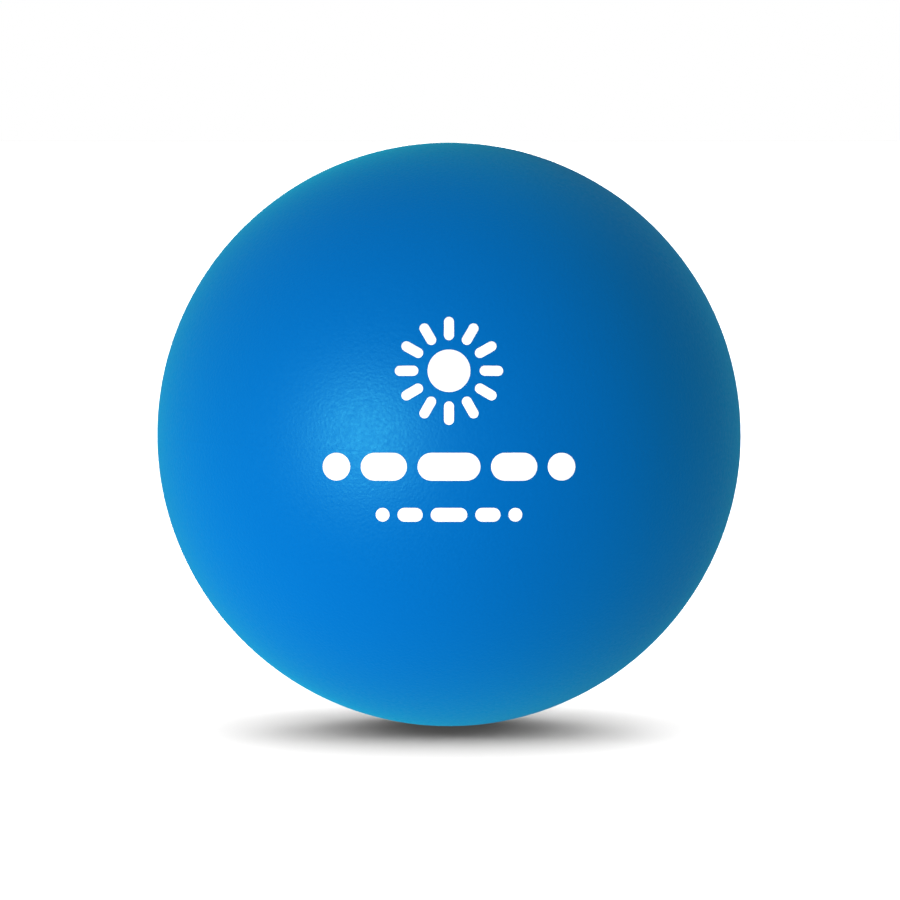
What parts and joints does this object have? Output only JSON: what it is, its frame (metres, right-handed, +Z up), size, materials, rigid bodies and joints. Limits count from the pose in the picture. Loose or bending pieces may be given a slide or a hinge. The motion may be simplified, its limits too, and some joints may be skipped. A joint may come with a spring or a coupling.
{
  "type": "stress ball",
  "caption": "Round squeezable foam ball with a blue colour coat, a dense skin, a small flat to rest on, and a white printed sun above rows of bars.",
  "frame": {"origin": "the centre of the small flat that the ball rests on, straight under the ball's centre", "axes": "+Z up through the ball's centre; the print faces -Y; +X is to the right of someone who looks at the print"},
  "size_m": [0.07, 0.0702, 0.0697],
  "materials": {
    "raw_foam": "matte",
    "foam_skin": "matte",
    "blue_coat": "satin",
    "white_ink": "satin"
  },
  "bodies": {
    "lower_half": {"foam_core": "raw_foam", "foam_skin": "foam_skin", "colour_coat_lower": "blue_coat", "headline_bar_1": "white_ink", "headline_bar_2": "white_ink", "headline_bar_3": "white_ink", "headline_bar_4": "white_ink", "headline_bar_5": "white_ink", "small_row_bar_1": "white_ink", "small_row_bar_2": "white_ink", "small_row_bar_3": "white_ink", "small_row_bar_4": "white_ink", "small_row_bar_5": "white_ink"},
    "upper_half": {"colour_coat_upper": "blue_coat", "emblem_disc": "white_ink", "emblem_ray_1": "white_ink", "emblem_ray_2": "white_ink", "emblem_ray_3": "white_ink", "emblem_ray_4": "white_ink", "emblem_ray_5": "white_ink", "emblem_ray_6": "white_ink", "emblem_ray_7": "white_ink", "emblem_ray_8": "white_ink", "emblem_ray_9": "white_ink", "emblem_ray_10": "white_ink", "emblem_ray_11": "white_ink", "emblem_ray_12": "white_ink"}
  },
  "joints": [
    {"name": "squeeze", "type": "slide", "parent": "lower_half", "child": "upper_half", "axis": [0, 0, -1], "range_m": [0, 0.035], "stiffness_N_per_m": 2000, "deforming": ["foam_core", "foam_skin", "colour_coat_lower", "headline_bar_1", "headline_bar_2", "headline_bar_3", "headline_bar_4", "headline_bar_5", "small_row_bar_1", "small_row_bar_2", "small_row_bar_3", "small_row_bar_4", "small_row_bar_5"]}
  ]
}
